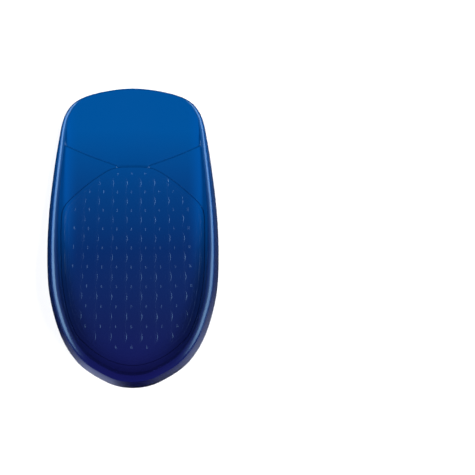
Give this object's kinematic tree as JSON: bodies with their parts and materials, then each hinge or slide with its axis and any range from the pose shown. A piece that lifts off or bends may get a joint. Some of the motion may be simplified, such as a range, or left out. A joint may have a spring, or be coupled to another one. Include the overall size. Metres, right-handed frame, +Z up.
{
  "type": "heel cup",
  "caption": "Soft blue gel heel cup for a shoe: thin front flap, raised heel wall and an oval floor pad with cast wave and dot relief.",
  "frame": {"origin": "middle of the flat sole, under the middle of the cup's length and width", "axes": "+Y points to the toe end, +X to the right seen from above, +Z up from the sole to the foot"},
  "size_m": [0.061, 0.1066, 0.0164],
  "materials": {
    "gel_shell": "glossy translucent gel",
    "gel_relief": "glossy translucent gel with fine cast relief"
  },
  "bodies": {
    "root": {"gel_cup": "gel_shell", "relief_pad": "gel_relief"}
  },
  "joints": []
}
